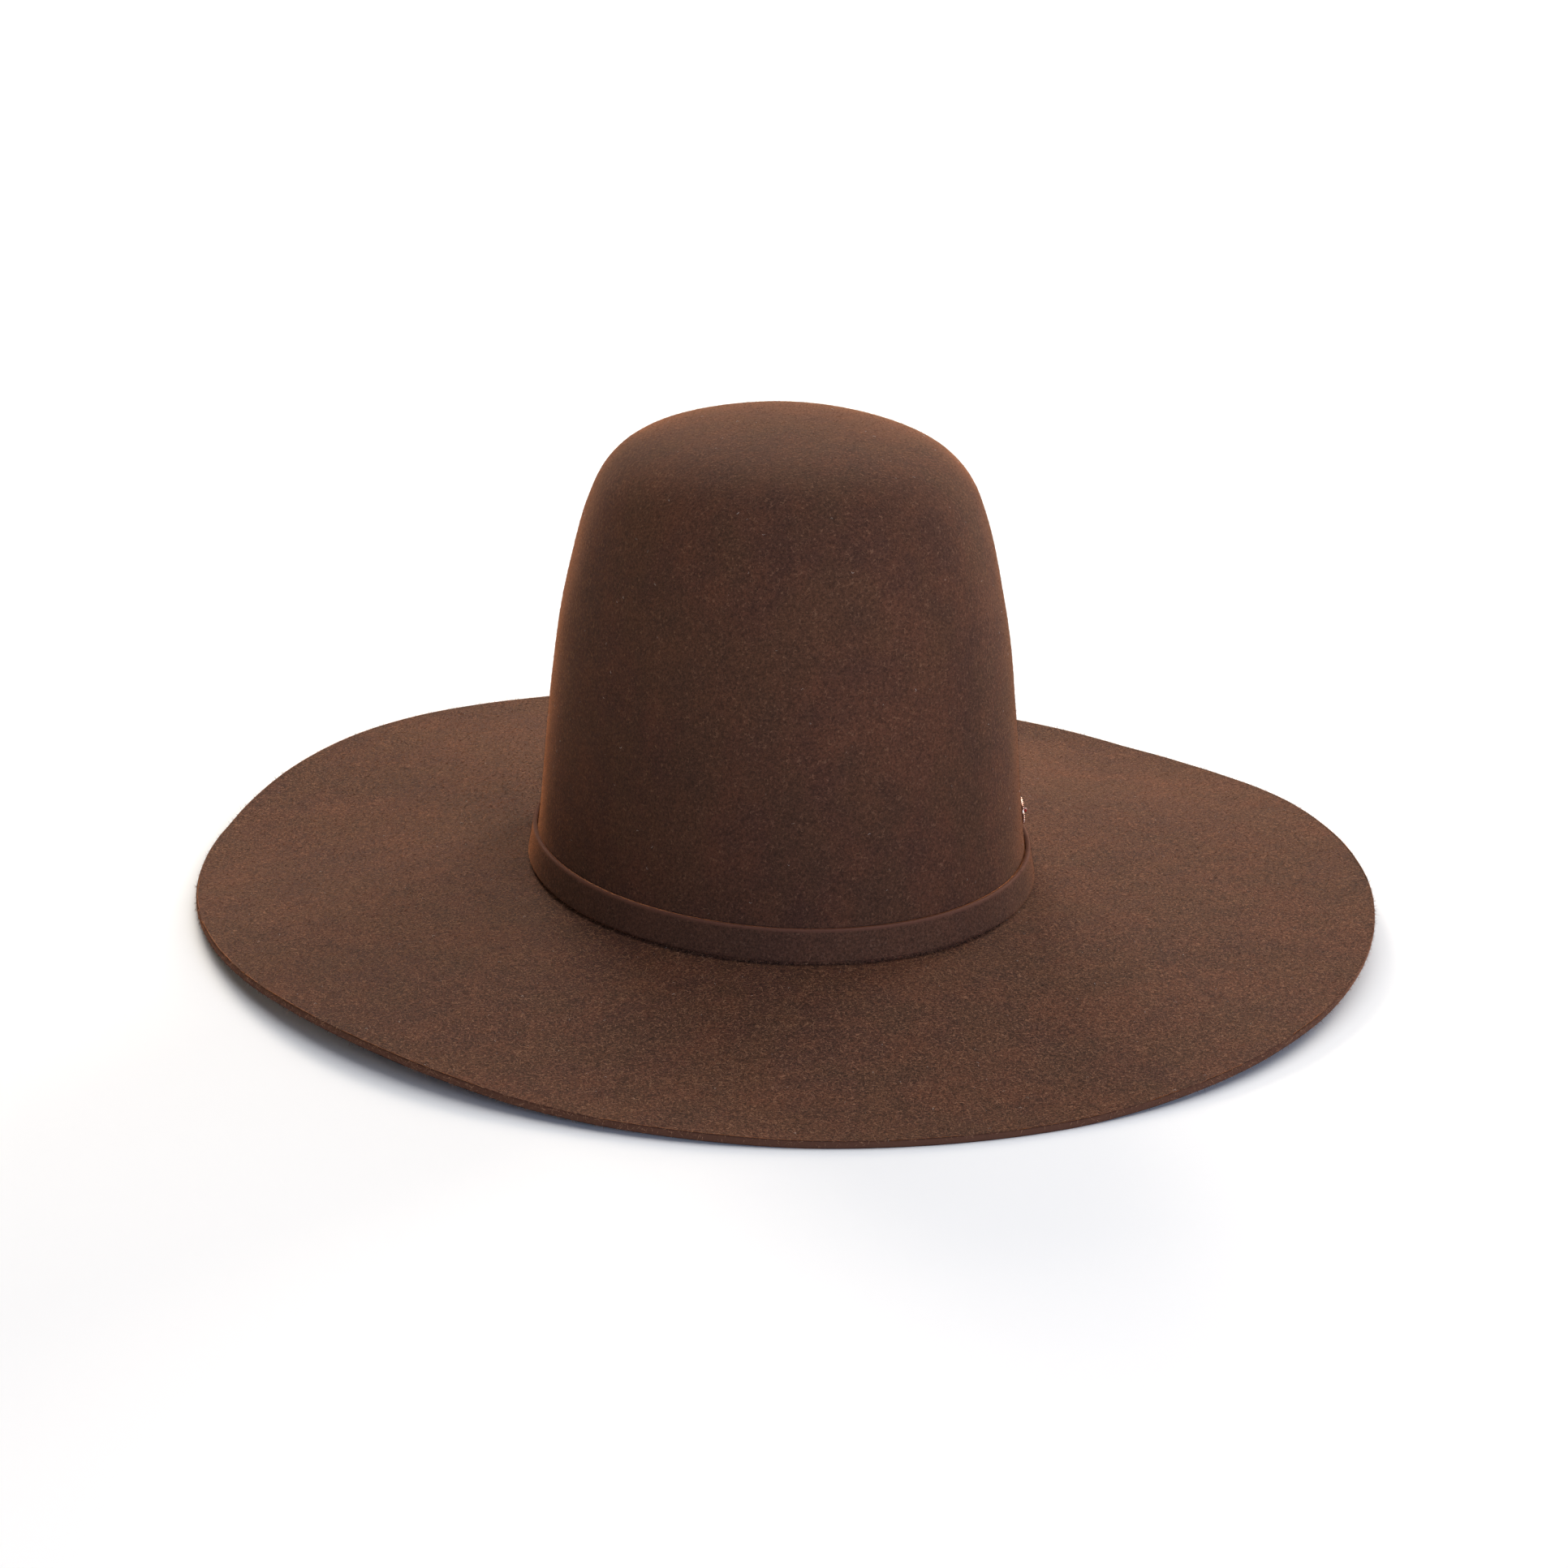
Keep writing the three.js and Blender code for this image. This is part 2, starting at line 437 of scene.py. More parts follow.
@dataclass
class HatBlock:
    """The form that the felt is pressed over, with the felt's own sizes."""

    felt: float = 2.6 * MM
    head_half_width: float = 85.2 * MM
    head_half_length: float = 103.8 * MM
    crown_height: float = 163.2 * MM
    crown_lean: float = 6 * MM
    break_radius: float = 1.1 * MM
    brim_width: float = 124.2 * MM
    brim_front_extra: float = 3 * MM
    brim_drop: float = 10.4 * MM
    brim_wave: float = 9 * MM
    around: int = 288
    climb_tolerance: float = 1e-7
    crown_rows: tuple[Pair, ...] = (
        (0.0, 1.0), (0.08, 0.976), (0.22, 0.951), (0.38, 0.926), (0.54, 0.894), (0.68, 0.845),
        (0.8, 0.79), (0.89, 0.715), (0.95, 0.58), (0.985, 0.35), (1.0, 0.0),
    )
    rim_lifts: tuple[float, ...] = (
        -0.05, 0.46, 1.0, 0.89, 0.05, 0.0, 0.38, 0.74, -0.07, 0.39, 0.81, 0.2,
    )
    arch: np.ndarray = field(init=False)
    bearing: np.ndarray = field(init=False)

    def __post_init__(self) -> None:
        """Lays out the crown's outline with its mirror image, and the bearings of every ring."""
        side = [(width, height) for height, width in self.crown_rows]
        other_side = [(-width, height) for width, height in reversed(side[:-1])]
        self.arch = np.array(side + other_side)
        self.bearing = all_round(self.around)

    @property
    def foot_half_sizes(self) -> Pair:
        """Half the crown's width and half its length at its foot, outside."""
        return self.head_half_width + self.felt, self.head_half_length + self.felt

    @property
    def wall_foot(self) -> float:
        """The height of the crown's foot above the floor, where the break begins."""
        return self.brim_drop + self.felt + self.break_radius

    @staticmethod
    def curved(rows: Sequence[np.ndarray], part: float | np.ndarray) -> np.ndarray:
        """Follows a smooth curve through four rows of a table.

        Args:
            rows: The rows.
            part: How far to go from the second to the third.

        Returns:
            The value between them.
        """
        before, here, after, beyond = rows
        slope_here = (after - before) / 2
        slope_next = (beyond - here) / 2
        square = (3 * (after - here) - 2 * slope_here - slope_next) * part ** 2
        cube = (2 * (here - after) + slope_here + slope_next) * part ** 3
        return here + slope_here * part + square + cube

    def outline(self, climb: float) -> Pair:
        """Follows the crown's outline.

        Args:
            climb: 0 at the foot and 1 at the top.

        Returns:
            The width share and the height share.
        """
        last = len(self.arch) - 1
        place = climb / 2 * last
        index = min(int(place), last - 1)
        rows = [self.arch[min(max(index + step, 0), last)] for step in (-1, 0, 1, 2)]
        width, height = self.curved(rows, place - index)
        return float(width), float(height)

    def climb_to(self, rise: float) -> float:
        """Finds how far up the outline a height is reached.

        Args:
            rise: The height above the crown's foot.

        Returns:
            0 at the foot and 1 at the top.
        """
        low, high = 0.0, 1.0
        while high - low > self.climb_tolerance:
            middle = (low + high) / 2
            if self.outline(middle)[1] * self.crown_height < rise:
                low = middle
            else:
                high = middle
        return low

    @staticmethod
    def circle(bearing: np.ndarray) -> np.ndarray:
        """Gives points on a circle of radius 1 round the Z axis."""
        return np.stack([np.sin(bearing), -np.cos(bearing), np.zeros_like(bearing)], 1)

    def foot(self, bearing: np.ndarray) -> np.ndarray:
        """Gives points on the oval of the crown's foot."""
        return self.circle(bearing) * (*self.foot_half_sizes, 1.0)

    def outward(self, bearing: np.ndarray) -> np.ndarray:
        """Gives the level directions straight out from that oval."""
        return unit(self.circle(bearing) / (*self.foot_half_sizes, 1.0))

    def crown(self, climb: float, bearing: np.ndarray) -> np.ndarray:
        """Gives points on the outside of the crown.

        Args:
            climb: 0 at the foot and 1 at the top.
            bearing: The bearings.

        Returns:
            One point for each bearing.
        """
        width, height = self.outline(climb)
        points = self.foot(bearing) * width
        points[:, 1] -= self.crown_lean * height ** 2
        points[:, 2] = self.wall_foot + self.crown_height * height
        return points

    def crown_out(self, climb: float, bearing: np.ndarray) -> np.ndarray:
        """Gives the directions straight out of the crown.

        Args:
            climb: 0 at the foot and 1 at the top.
            bearing: The bearings.

        Returns:
            One direction for each bearing.
        """
        if climb >= 1:
            return straight_up(len(bearing))
        step = 0.001
        upward = self.crown(climb + step, bearing) - self.crown(max(climb - step, 0.0), bearing)
        around = self.crown(climb, bearing + step) - self.crown(climb, bearing - step)
        return unit(np.cross(around, upward))

    def beside_crown(self, climb: float, distance: float, zone: Zone = Zone.CROWN) -> Ring:
        """Makes a ring that follows the crown's wall.

        Args:
            climb: 0 at the foot and 1 at the top.
            distance: How far outside the wall's outer face it lies. Below zero is inwards.
            zone: The ring's zone.

        Returns:
            The ring.
        """
        out = self.crown_out(climb, self.bearing)
        return Ring(self.crown(climb, self.bearing) + out * distance, out, zone)

    def in_break(self, turn: float, depth: float, zone: Zone = Zone.BRIM) -> Ring:
        """Makes a ring in the hollow curve between wall and brim.

        Args:
            turn: 0 at the wall and 1 at the brim.
            depth: How deep in the felt it lies.
            zone: The ring's zone.

        Returns:
            The ring.
        """
        angle = turn * QUARTER_TURN
        radius = self.break_radius + depth
        level = self.outward(self.bearing)
        points = self.foot(self.bearing) + level * (self.break_radius - radius * math.cos(angle))
        points[:, 2] = self.wall_foot - radius * math.sin(angle)
        out = level * math.cos(angle) + np.array([0.0, 0.0, math.sin(angle)])
        return Ring(points, out, zone)

    @property
    def rim_lift(self) -> np.ndarray:
        """How high the underside of the brim's edge is carried, at each bearing."""
        lifts = np.array(self.rim_lifts)
        place = self.bearing / FULL_TURN * len(lifts)
        index = np.floor(place).astype(int)
        rows = [lifts[(index + step) % len(lifts)] for step in (-1, 0, 1, 2)]
        return self.brim_wave * self.curved(rows, place - index)

    def on_brim(self, reach: float, depth: float, setback: float = 0.0, zone: Zone = Zone.BRIM) -> Ring:
        """Makes a ring in the brim.

        Args:
            reach: 0 at the break and 1 at the edge.
            depth: How deep in the felt it lies.
            setback: How far it is drawn back from there.
            zone: The ring's zone.

        Returns:
            The ring.
        """
        width = self.brim_width + self.brim_front_extra * np.cos(2 * self.bearing)
        distance = self.break_radius + (width - self.break_radius) * reach - setback
        settled = reach * reach * (3 - 2 * reach)
        underside = np.maximum(self.brim_drop + (self.rim_lift - self.brim_drop) * settled, 0)
        points = self.foot(self.bearing) + self.outward(self.bearing) * distance[:, None]
        points[:, 2] = underside + self.felt - depth
        return Ring(points, straight_up(self.around), zone)


def add_piece(name: str, mesh: Mesh, material: Material) -> Object:
    """Puts a mesh in the scene with its material.

    Args:
        name: The piece's name.
        mesh: Its mesh.
        material: Its material.

    Returns:
        The new object.
    """
    mesh.name = name
    mesh.materials.clear()
    mesh.materials.append(material)
    piece = bpy.data.objects.new(name, mesh)
    bpy.context.scene.collection.objects.link(piece)
    return piece


def swept(name: str, rings: Sequence[np.ndarray], poles: bool) -> Mesh:
    """Joins rings of points into a closed skin.

    Args:
        name: The mesh's name.
        rings: The rings, in order along the section.
        poles: Whether the first and last ring are single points. If not, the last joins the first.

    Returns:
        The mesh, with its faces outwards and smooth.
    """
    last = len(rings) - 1
    points = [ring[:1] if poles and index in (0, last) else ring for index, ring in enumerate(rings)]
    starts = np.cumsum([0] + [len(part) for part in points])
    steps = np.arange(len(rings[1]))
    loops = [(start + steps % len(part)).tolist() for start, part in zip(starts, points)]
    faces: list[tuple[int, ...]] = []
    for first, second in zip(loops, loops[1:] + ([] if poles else loops[:1])):
        for corners in zip(first, second, second[1:] + second[:1], first[1:] + first[:1]):
            faces.append(tuple(dict.fromkeys(corners)))
    mesh = bpy.data.meshes.new(name)
    mesh.from_pydata(np.concatenate(points).tolist(), [], faces)
    work = bmesh.new()
    work.from_mesh(mesh)
    bmesh.ops.recalc_face_normals(work, faces=work.faces)
    for face in work.faces:
        face.smooth = True
    work.to_mesh(mesh)
    work.free()
    return mesh


def lathed(name: str, outline: Sequence[Pair], around: int) -> Mesh:
    """Turns an outline about the Z axis.

    Args:
        name: The mesh's name.
        outline: Radius and height of each point, from axis to axis.
        around: How many steps the turn has.

    Returns:
        The closed mesh.
    """
    angles = all_round(around)
    rings = [
        np.stack([radius * np.cos(angles), radius * np.sin(angles), np.full(around, height)], 1)
        for radius, height in outline
    ]
    return swept(name, rings, poles=True)


def store(mesh: Mesh, name: str, values: np.ndarray) -> None:
    """Stores a number for each of the mesh's points."""
    mesh.attributes.new(name, "FLOAT", "POINT").data.foreach_set("value", values)


def kept_off_floor(mesh: Mesh) -> Mesh:
    """Lifts the points of a mesh that reach below the floor onto it.

    Args:
        mesh: The mesh.

    Returns:
        The same mesh.
    """
    places = np.empty(len(mesh.vertices) * 3)
    mesh.vertices.foreach_get("co", places)
    places[2::3] = np.maximum(places[2::3], FLOOR_GAP)
    mesh.vertices.foreach_set("co", places)
    return mesh


class Growth(Wiring):
    """A Geometry Nodes tree that is grown on a carrier mesh and turned into a plain mesh."""

    def __init__(self, name: str) -> None:
        """Starts an empty tree.

        Args:
            name: The tree's name.
        """
        super().__init__(bpy.data.node_groups.new(name, "GeometryNodeTree"))
        for way in ("INPUT", "OUTPUT"):
            self.tree.interface.new_socket(name="Geometry", in_out=way, socket_type="NodeSocketGeometry")
        self.source = self.node("NodeGroupInput")
        self.values: dict[str, float | int] = {}

    def size(self, name: str, value: float | int) -> Socket:
        """Adds a named input.

        Args:
            name: The input's name.
            value: What the modifier sets it to.

        Returns:
            The socket that gives it inside the tree.
        """
        kind = "NodeSocketInt" if isinstance(value, int) else "NodeSocketFloat"
        made = self.tree.interface.new_socket(name=name, in_out="INPUT", socket_type=kind)
        self.values[made.identifier] = value
        return self.source.outputs[name]

    def random(self, low: float | Triple, high: float | Triple, draw: Draw) -> Socket:
        """Gives a random number or triple for each element.

        Args:
            low: The least it may be.
            high: The most it may be.
            draw: What it decides.

        Returns:
            The random value.
        """
        lowest, output, kind = (2, 1, "FLOAT") if isinstance(low, float) else (0, 0, "FLOAT_VECTOR")
        feeds = {lowest: low, lowest + 1: high, "Seed": draw.value}
        return self.node("FunctionNodeRandomValue", feeds, data_type=kind).outputs[output]

    def grow(self, name: str, geometry: Socket, material: Material, carrier_mesh: Mesh) -> Mesh:
        """Ends the tree, runs it on a carrier and keeps what it makes as a plain mesh.

        Args:
            name: The new mesh's name.
            geometry: The instances that the tree makes.
            material: Their material.
            carrier_mesh: The mesh that the tree starts from.

        Returns:
            The plain mesh.
        """
        plain = self.node("GeometryNodeRealizeInstances", {"Geometry": geometry}).outputs["Geometry"]
        dressed = self.node("GeometryNodeSetMaterial", {"Geometry": plain, "Material": material})
        self.node("NodeGroupOutput", {"Geometry": dressed.outputs["Geometry"]})
        carrier = bpy.data.objects.new(f"{name}_carrier", carrier_mesh)
        bpy.context.scene.collection.objects.link(carrier)
        modifier = carrier.modifiers.new("growth", "NODES")
        modifier.node_group = self.tree
        for identifier, value in self.values.items():
            modifier[identifier] = value
        evaluated = carrier.evaluated_get(bpy.context.evaluated_depsgraph_get())
        mesh = bpy.data.meshes.new_from_object(evaluated)
        carrier.modifiers.remove(modifier)
        bpy.data.objects.remove(carrier)
        mesh.name = name
        return mesh


@dataclass
class FeltBody:
    """Crown and brim, one piece of blocked felt with a raw cut edge."""

    block: HatBlock
    finish: FeltFinish
    cut_round: float = 0.7 * MM
    crown_steps: int = 72
    inner_steps: int = 40
    break_steps: int = 5
    brim_steps: int = 40
    under_steps: int = 26
    corner_steps: int = 3
    ripple_size: float = 45 * MM
    ripple: float = 0.35 * MM
    fine_ripple_share: float = 0.4
    fine_ripple_scale: float = 2.3
    floor_ease: float = 3 * MM
    floor_clear: float = 1.9 * MM
    covers: dict[str, dict[Zone, float]] = field(default_factory=lambda: {
        "cut_edge": {Zone.CUT_EDGE: 1.0},
        "crown_cover": {Zone.CROWN: 1.0, Zone.INSIDE: 0.1},
        "brim_cover": {Zone.BRIM: 1.0, Zone.CUT_EDGE: 2.5, Zone.UNDERSIDE: 0.15},
        "lint_cover": {Zone.CROWN: 0.8, Zone.BRIM: 1.0, Zone.UNDERSIDE: 0.2, Zone.INSIDE: 0.1},
    })

    def section(self) -> list[Ring]:
        """Lays the felt's rings, from the crown's top round the brim's edge and back up inside.

        Returns:
            The rings.
        """
        block = self.block
        felt = block.felt
        corner = rounded_corner(self.cut_round, self.corner_steps)
        turns = shares(self.break_steps)
        rings = [block.beside_crown(climb, 0.0) for climb in reversed(shares(self.crown_steps)[1:])]
        rings += [block.in_break(turn, 0.0) for turn in turns]
        rings += [block.on_brim(reach, 0.0) for reach in eased(self.brim_steps)]
        rings += [block.on_brim(1.0, down, back, Zone.CUT_EDGE) for back, down in corner]
        rings += [block.on_brim(1.0, felt - up, back, Zone.CUT_EDGE) for back, up in reversed(corner)]
        under = reversed(eased(self.under_steps))
        rings += [block.on_brim(reach, felt, 0.0, Zone.UNDERSIDE) for reach in under]
        rings += [block.in_break(turn, felt, Zone.INSIDE) for turn in reversed(turns)]
        inner = shares(self.inner_steps)[1:]
        rings += [block.beside_crown(climb, -felt, Zone.INSIDE) for climb in inner]
        return rings

    def rippled(self, ring: Ring) -> np.ndarray:
        """Gives a ring's points with the slight unevenness of hand-pressed felt.

        Args:
            ring: The ring.

        Returns:
            Its points, moved along the felt's own normal and held level on the floor.
        """
        back = 0 if ring.zone in (Zone.CROWN, Zone.BRIM) else -self.block.felt
        moved = ring.points.copy()
        for index, (point, out) in enumerate(zip(ring.points, ring.out)):
            place = Vector(point) - Vector(out) * back
            fine = noise.noise(place * self.fine_ripple_scale / self.ripple_size)
            swell = noise.noise(place / self.ripple_size) + self.fine_ripple_share * fine
            ease = min(point[2] / self.floor_ease, 1.0)
            moved[index] = point + out * self.ripple * swell * ease
        return moved

    def build(self) -> Object:
        """Builds the felt.

        Returns:
            The felt's skin, with its finish.
        """
        rings = self.section()
        mesh = swept("felt_skin", [self.rippled(ring) for ring in rings], poles=True)
        counts = [1] + [self.block.around] * (len(rings) - 2) + [1]
        clear = np.array([float(vertex.co.z > self.floor_clear) for vertex in mesh.vertices])
        for name, cover_by_zone in self.covers.items():
            cover = np.repeat([cover_by_zone.get(ring.zone, 0.0) for ring in rings], counts)
            store(mesh, name, cover if name == "cut_edge" else cover * clear)
        return add_piece("felt_skin", mesh, self.finish.material(FeltUse.SKIN))


@dataclass
class HatBand:
    """The narrow felt band round the foot of the crown."""

    block: HatBlock
    finish: FeltFinish
    height: float = 11.3 * MM
    thickness: float = 1.6 * MM
    edge_round: float = 0.5 * MM
    clearance: float = 0.3 * MM
    face_steps: int = 8
    corner_steps: int = 4
    # How far down from the top the band's lighter edge colour reaches, a line that is partly painted
    # highlight.
    cut_edge_and_highlight_width: float = 0.9 * MM

    def section(self) -> list[Pair]:
        """Lays the band's section.

        Returns:
            The rise of each point above the crown's foot and its distance from the wall.
        """
        far = self.clearance + self.thickness
        corner = rounded_corner(self.edge_round, self.corner_steps)
        inner = [(self.height * share, self.clearance) for share in shares(self.face_steps)]
        top = [(self.height - down, far - back) for back, down in corner]
        face = [(self.height * share, far) for share in reversed(shares(self.face_steps)[1:-1])]
        foot = [(up, far - back) for back, up in reversed(corner)]
        return inner + top + face + foot

    def build(self) -> Object:
        """Builds the band.

        Returns:
            The band, with its finish.
        """
        block = self.block
        section = self.section()
        rings = [block.beside_crown(block.climb_to(rise), distance).points for rise, distance in section]
        mesh = swept("band_felt_strip", rings, poles=False)
        # The band's top edge, whose lighter colour is partly the raw cut edge and partly painted
        # highlight.
        cut_and_highlight = [float(rise > self.height - self.cut_edge_and_highlight_width) for rise, _ in section]
        outside = [float(distance > self.clearance * 2) for _, distance in section]
        store(mesh, "cut_edge", np.repeat(cut_and_highlight, block.around))
        store(mesh, "band_cover", np.repeat(outside, block.around))
        return add_piece("band_felt_strip", mesh, self.finish.material(FeltUse.SKIN))


@dataclass(frozen=True)
class Fibres(ABC):
    """Loose fibres of one kind on felt, grown by Geometry Nodes. The turns are in radians."""

    name: str
    finish: FeltFinish | LintFinish
    cover: str
    per_square_metre: float
    length: float
    thickness: float
    seed: int
    brightest: float
    least_turn: Triple = (math.radians(45), 0.0, 0.0)
    most_turn: Triple = (math.radians(88), 0.0, FULL_TURN)
    least_scale: Triple = (1.0, 1.0, 0.4)
    most_scale: Triple = (1.0, 1.0, 1.6)

    @abstractmethod
    def shape(self, growth: Growth) -> Socket:
        """Makes one fibre in the tree that it is for."""

    def build(self, felt: Object) -> Object:
        """Grows the fibres.

        Args:
            felt: The felt that they grow or lie on.

        Returns:
            The fibres as one plain piece.
        """
        growth = Growth(f"{self.name}_growth")
        most = growth.size("Fibres per square metre", self.per_square_metre)
        seed = growth.size("Seed", self.seed)
        cover = growth.node("GeometryNodeInputNamedAttribute", {"Name": self.cover}, data_type="FLOAT")
        feeds = {0: most, 1: cover.outputs["Attribute"]}
        density = growth.node("ShaderNodeMath", feeds, operation="MULTIPLY").outputs[0]
        feeds = {"Mesh": growth.source.outputs["Geometry"], "Density": density, "Seed": seed}
        points = growth.node("GeometryNodeDistributePointsOnFaces", feeds, distribute_method="RANDOM")
        own_turn = growth.random(self.least_turn, self.most_turn, Draw.TURN)
        own_turn = growth.node("FunctionNodeEulerToRotation", {"Euler": own_turn}).outputs["Rotation"]
        feeds = {"Rotation": points.outputs["Rotation"], "Rotate By": own_turn}
        turn = growth.node("FunctionNodeRotateRotation", feeds, rotation_space="LOCAL")
        feeds = {
            "Points": points.outputs["Points"],
            "Instance": self.shape(growth),
            "Rotation": turn.outputs["Rotation"],
            "Scale": growth.random(self.least_scale, self.most_scale, Draw.SCALE),
        }
        copies = growth.node("GeometryNodeInstanceOnPoints", feeds).outputs["Instances"]
        tone = growth.random(0.0, self.brightest, Draw.TONE)
        feeds = {"Geometry": copies, "Name": "tone", "Value": tone}
        toned = growth.node("GeometryNodeStoreNamedAttribute", feeds, data_type="FLOAT", domain="INSTANCE")
        material = self.finish.material()
        mesh = growth.grow(self.name, toned.outputs["Geometry"], material, felt.data)
        return add_piece(self.name, kept_off_floor(mesh), material)


class Nap(Fibres):
    """Straight tapered hairs that stand and lie on felt."""

    def shape(self, growth: Growth) -> Socket:
        """Makes one hair.

        Args:
            growth: The tree that it is for.

        Returns:
            The hair, along the Z axis.
        """
        length = growth.size("Hair length", self.length)
        radius = growth.size("Hair radius", self.thickness / 2)
        feeds = {"Vertices": 3, "Radius Top": 0.0, "Radius Bottom": radius, "Depth": length}
        return growth.node("GeometryNodeMeshCone", feeds, fill_type="NGON").outputs["Mesh"]


@dataclass(frozen=True)
class Lint(Fibres):
    """Pale curved fibres caught on the felt."""

    bow: float = 0.5 * MM
    steps: int = 5

    def shape(self, growth: Growth) -> Socket:
        """Makes one curved fibre.

        Args:
            growth: The tree that it is for.

        Returns:
            The fibre, along the X axis.
        """
        radius = growth.size("Fibre radius", self.thickness / 2)
        half = self.length / 2
        feeds = {
            "Resolution": self.steps,
            "Start": (-half, 0.0, 0.0),
            "Middle": (0.0, self.bow, self.bow),
            "End": (half, 0.0, 0.0),
        }
        line = growth.node("GeometryNodeCurveQuadraticBezier", feeds).outputs["Curve"]
        profile = growth.node("GeometryNodeCurvePrimitiveCircle", {"Resolution": 3, "Radius": radius})
        feeds = {"Curve": line, "Profile Curve": profile.outputs["Curve"], "Fill Caps": True}
        return growth.node("GeometryNodeCurveToMesh", feeds).outputs["Mesh"]


@dataclass
class CrownPin:
    """A small round pin with a beaded rim, its post through the felt and its clutch inside."""

    block: HatBlock
    metal: PolishedFinish
    enamel: PolishedFinish
    bearing: float = math.radians(75)
    rise: float = 19.0 * MM
    head_radius: float = 4.9 * MM
    head_thickness: float = 0.55 * MM
    clearance: float = 0.3 * MM
    edge_round: float = 0.2 * MM
    edge_steps: int = 4
    bead_radius: float = 0.34 * MM
    bead_detail: int = 3
    beads: int = 36
    dish_radius: float = 4.0 * MM
    dish_depth: float = 0.2 * MM
    collet_radius: float = 1.7 * MM
    collet_height: float = 0.5 * MM
    dome_radius: float = 1.15 * MM
    dome_height: float = 1.95 * MM
    dome_sink: float = 0.15 * MM
    dome_flatness: float = 0.9
    dome_steps: int = 10
    post_radius: float = 0.6 * MM
    clutch_radius: float = 2.8 * MM
    clutch_thickness: float = 2.2 * MM
    around: int = 64

    @property
    def face(self) -> float:
        """How far the head's front face stands off the felt."""
        return self.clearance + self.head_thickness

    def placing(self) -> Matrix:
        """Finds where the pin sits.

        Returns:
            The turn and place that carry it from the Z axis to the crown's wall.
        """
        climb = self.block.climb_to(self.rise)
        bearing = np.array([self.bearing])
        out = Vector(self.block.crown_out(climb, bearing)[0])
        turn = out.to_track_quat("Z", "Y").to_matrix().to_4x4()
        return Matrix.Translation(Vector(self.block.crown(climb, bearing)[0])) @ turn

    def rounded(self, radius: float, low: float, high: float) -> list[Pair]:
        """Gives the rounded side of a disc.

        Args:
            radius: The disc's radius.
            low: The height of its low face.
            high: The height of its high face.

        Returns:
            Radius and height of each point, upwards.
        """
        corner = rounded_corner(self.edge_round, self.edge_steps)
        lower = [(radius - back, low + up) for back, up in corner]
        upper = [(radius - back, high - down) for down, back in corner]
        return lower + upper

    def metal_mesh(self) -> Mesh:
        """Makes the head's disc, the post and the clutch as one turned shape.

        Returns:
            The closed mesh.
        """
        inside = -self.block.felt - self.clearance
        clutch_end = inside - self.clutch_thickness
        dish = self.face - self.dish_depth
        collet = self.face + self.collet_height
        seat = self.face - self.dome_sink
        edge = self.edge_round
        outline = [
            (0.0, clutch_end),
            *self.rounded(self.clutch_radius, clutch_end, inside),
            (self.post_radius, inside),
            (self.post_radius, self.clearance),
            *self.rounded(self.head_radius, self.clearance, self.face),
            (self.dish_radius, self.face),
            (self.dish_radius - self.dish_depth, dish),
            (self.collet_radius, dish),
            (self.collet_radius - edge, collet - edge),
            ((self.collet_radius + self.dome_radius - edge) / 2, collet),
            (self.dome_radius, collet),
            (self.dome_radius, seat),
            (0.0, seat),
        ]
        return lathed("pin_turned", outline, self.around)

    def dome_mesh(self) -> Mesh:
        """Makes the enamel dome, closed below.

        Returns:
            The closed mesh.
        """
        seat = self.face - self.dome_sink
        outline = [(0.0, seat)]
        for share in shares(self.dome_steps)[:-1]:
            turn = share * QUARTER_TURN
            rise = self.dome_height * math.sin(turn) ** self.dome_flatness
            outline.append((self.dome_radius * math.cos(turn), seat + rise))
        outline.append((0.0, seat + self.dome_height))
        return lathed("pin_dome_shape", outline, self.around)

    def bead_mesh(self, material: Material) -> Mesh:
        """Grows the ring of beads round the head's rim.

        Args:
            material: The beads' material.

        Returns:
            The beads as one plain mesh.
        """
        growth = Growth("pin_bead_growth")
        number = growth.size("Beads", self.beads)
        radius = growth.size("Bead radius", self.bead_radius)
        circle = growth.size("Circle radius", self.head_radius - self.bead_radius)
        ring = growth.node("GeometryNodeMeshCircle", {"Vertices": number, "Radius": circle})
        feeds = {"Geometry": ring.outputs["Mesh"], "Offset": (0.0, 0.0, self.face)}
        raised = growth.node("GeometryNodeSetPosition", feeds).outputs["Geometry"]
        feeds = {"Radius": radius, "Subdivisions": self.bead_detail}
        bead = growth.node("GeometryNodeMeshIcoSphere", feeds)
        smooth = growth.node("GeometryNodeSetShadeSmooth", {0: bead.outputs["Mesh"]}).outputs[0]
        beads = growth.node("GeometryNodeInstanceOnPoints", {"Points": raised, "Instance": smooth})
        start = bpy.data.meshes.new("pin_bead_start")
        return growth.grow("pin_beads", beads.outputs["Instances"], material, start)

    def build(self) -> list[Object]:
        """Builds the pin.

        Returns:
            Its metal, its beads and its dome.
        """
        metal = self.metal.material()
        made = [
            add_piece("pin_metal_body", self.metal_mesh(), metal),
            add_piece("pin_beads", self.bead_mesh(metal), metal),
            add_piece("pin_dome", self.dome_mesh(), self.enamel.material()),
        ]
        placing = self.placing()
        for piece in made:
            piece.data.transform(placing)
            piece.data.update()
        return made


@dataclass(frozen=True)
class Softbox:
    """A square soft light that faces the hat."""

    name: str
    place: Triple
    side: float
    power: float
    colour: Triple = WHITE
    aim: Triple = (0.0, 0.0, 0.06)

    def hang(self) -> None:
        """Hangs the light."""
        lamp = bpy.data.lights.new(self.name, "AREA")
        lamp.shape, lamp.size = "SQUARE", self.side
        lamp.energy, lamp.color = self.power, self.colour
        made = bpy.data.objects.new(self.name, lamp)
        made.location = self.place
        made.rotation_mode = "QUATERNION"
        made.rotation_quaternion = (Vector(self.aim) - Vector(self.place)).to_track_quat("-Z", "Y")
        bpy.context.scene.collection.objects.link(made)


